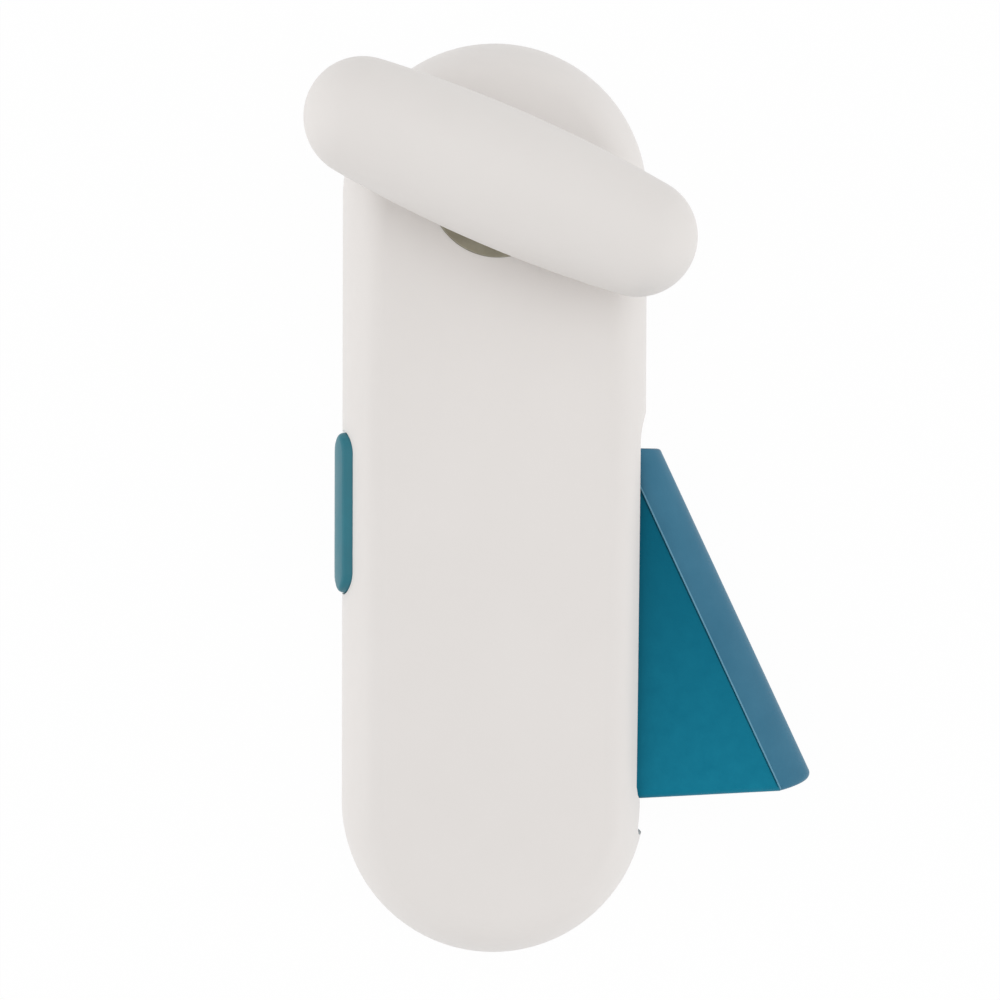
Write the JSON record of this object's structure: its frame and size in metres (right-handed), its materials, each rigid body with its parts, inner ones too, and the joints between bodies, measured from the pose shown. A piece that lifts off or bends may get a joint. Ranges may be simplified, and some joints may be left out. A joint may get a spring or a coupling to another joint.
{
  "type": "hand can opener",
  "caption": "Safety can opener with a rounded two-part body, turning bar, squeeze lever, release button and a toothed feed wheel with cutting disc under the head.",
  "frame": {"origin": "centre of the flat rest face on the back of the body", "axes": "+X to the squeeze lever's side, +Y to the head with the turning bar, +Z out of the front face"},
  "size_m": [0.1039, 0.188, 0.0543],
  "materials": {
    "cover_white": "satin moulded white",
    "knob_white": "satin moulded white",
    "teal_plastic": "fine satin moulded teal",
    "bearing_brass": "turned",
    "plated_steel": "zinc plated",
    "ring_steel": "turned",
    "spring_steel": "drawn wire",
    "hardened_steel": "ground and hardened",
    "brushed_steel": "rolled"
  },
  "bodies": {
    "housing": {"front_cover": "cover_white", "rear_cover": "cover_white", "housing_screws": "plated_steel", "base_plate": "brushed_steel", "base_plate_screws": "plated_steel", "upper_bushing": "bearing_brass", "lower_bushing": "bearing_brass", "bearing_ring": "ring_steel", "slide_guide_pins": "brushed_steel", "lever_pivot_pin": "brushed_steel", "latch_pivot_pin": "brushed_steel", "button_spring": "spring_steel"},
    "knob": {"knob_shell": "knob_white", "knob_base": "knob_white", "knob_hub": "brushed_steel", "drive_shaft": "brushed_steel", "thrust_washer": "bearing_brass", "shaft_clip": "spring_steel", "feed_wheel": "hardened_steel", "feed_wheel_screw": "plated_steel"},
    "cutter_carriage": {"cutter_slide": "brushed_steel", "cutter_axle": "plated_steel"},
    "cutting_disc": {"cutter_wheel": "hardened_steel"},
    "lever": {"squeeze_lever": "teal_plastic", "lever_crank": "brushed_steel", "crank_rivets": "brushed_steel", "crank_pin": "brushed_steel", "lever_return_spring": "spring_steel"},
    "latch": {"latch_pawl": "brushed_steel"},
    "button": {"release_button": "teal_plastic"}
  },
  "joints": [
    {"name": "knob_turn", "type": "hinge", "parent": "housing", "child": "knob", "pos_m": [0, 0.0625, 0.041], "axis": [0, 0, 1], "continuous": true},
    {"name": "lever_squeeze", "type": "hinge", "parent": "housing", "child": "lever", "pos_m": [0.0245, 0.0167, 0.013], "axis": [0, 0, -1], "range_deg": [0, 25.2], "stiffness_Nm_per_rad": 0.3, "springref_deg": -17.19, "deforming": ["lever_return_spring"]},
    {"name": "cutter_feed", "type": "slide", "parent": "housing", "child": "cutter_carriage", "axis": [0, 1, 0], "range_m": [0, 0.00526]},
    {"name": "cutter_spin", "type": "hinge", "parent": "cutter_carriage", "child": "cutting_disc", "pos_m": [0, 0.04238, 0.0032], "axis": [0, 0, 1], "continuous": true},
    {"name": "button_press", "type": "slide", "parent": "housing", "child": "button", "axis": [1, 0, 0], "range_m": [-0.0008, 0.002], "stiffness_N_per_m": 700, "deforming": ["button_spring"]},
    {"name": "pawl_swing", "type": "hinge", "parent": "housing", "child": "latch", "pos_m": [-0.01216, -0.00891, 0.0145], "axis": [0, 0, -1], "range_deg": [-4.3, 10.6]}
  ],
  "couplings": [
    {"joint": "cutter_feed", "follows": "lever_squeeze", "m_per_rad": 0.011903},
    {"joint": "pawl_swing", "follows": "button_press", "rad_per_m": 90.909}
  ]
}
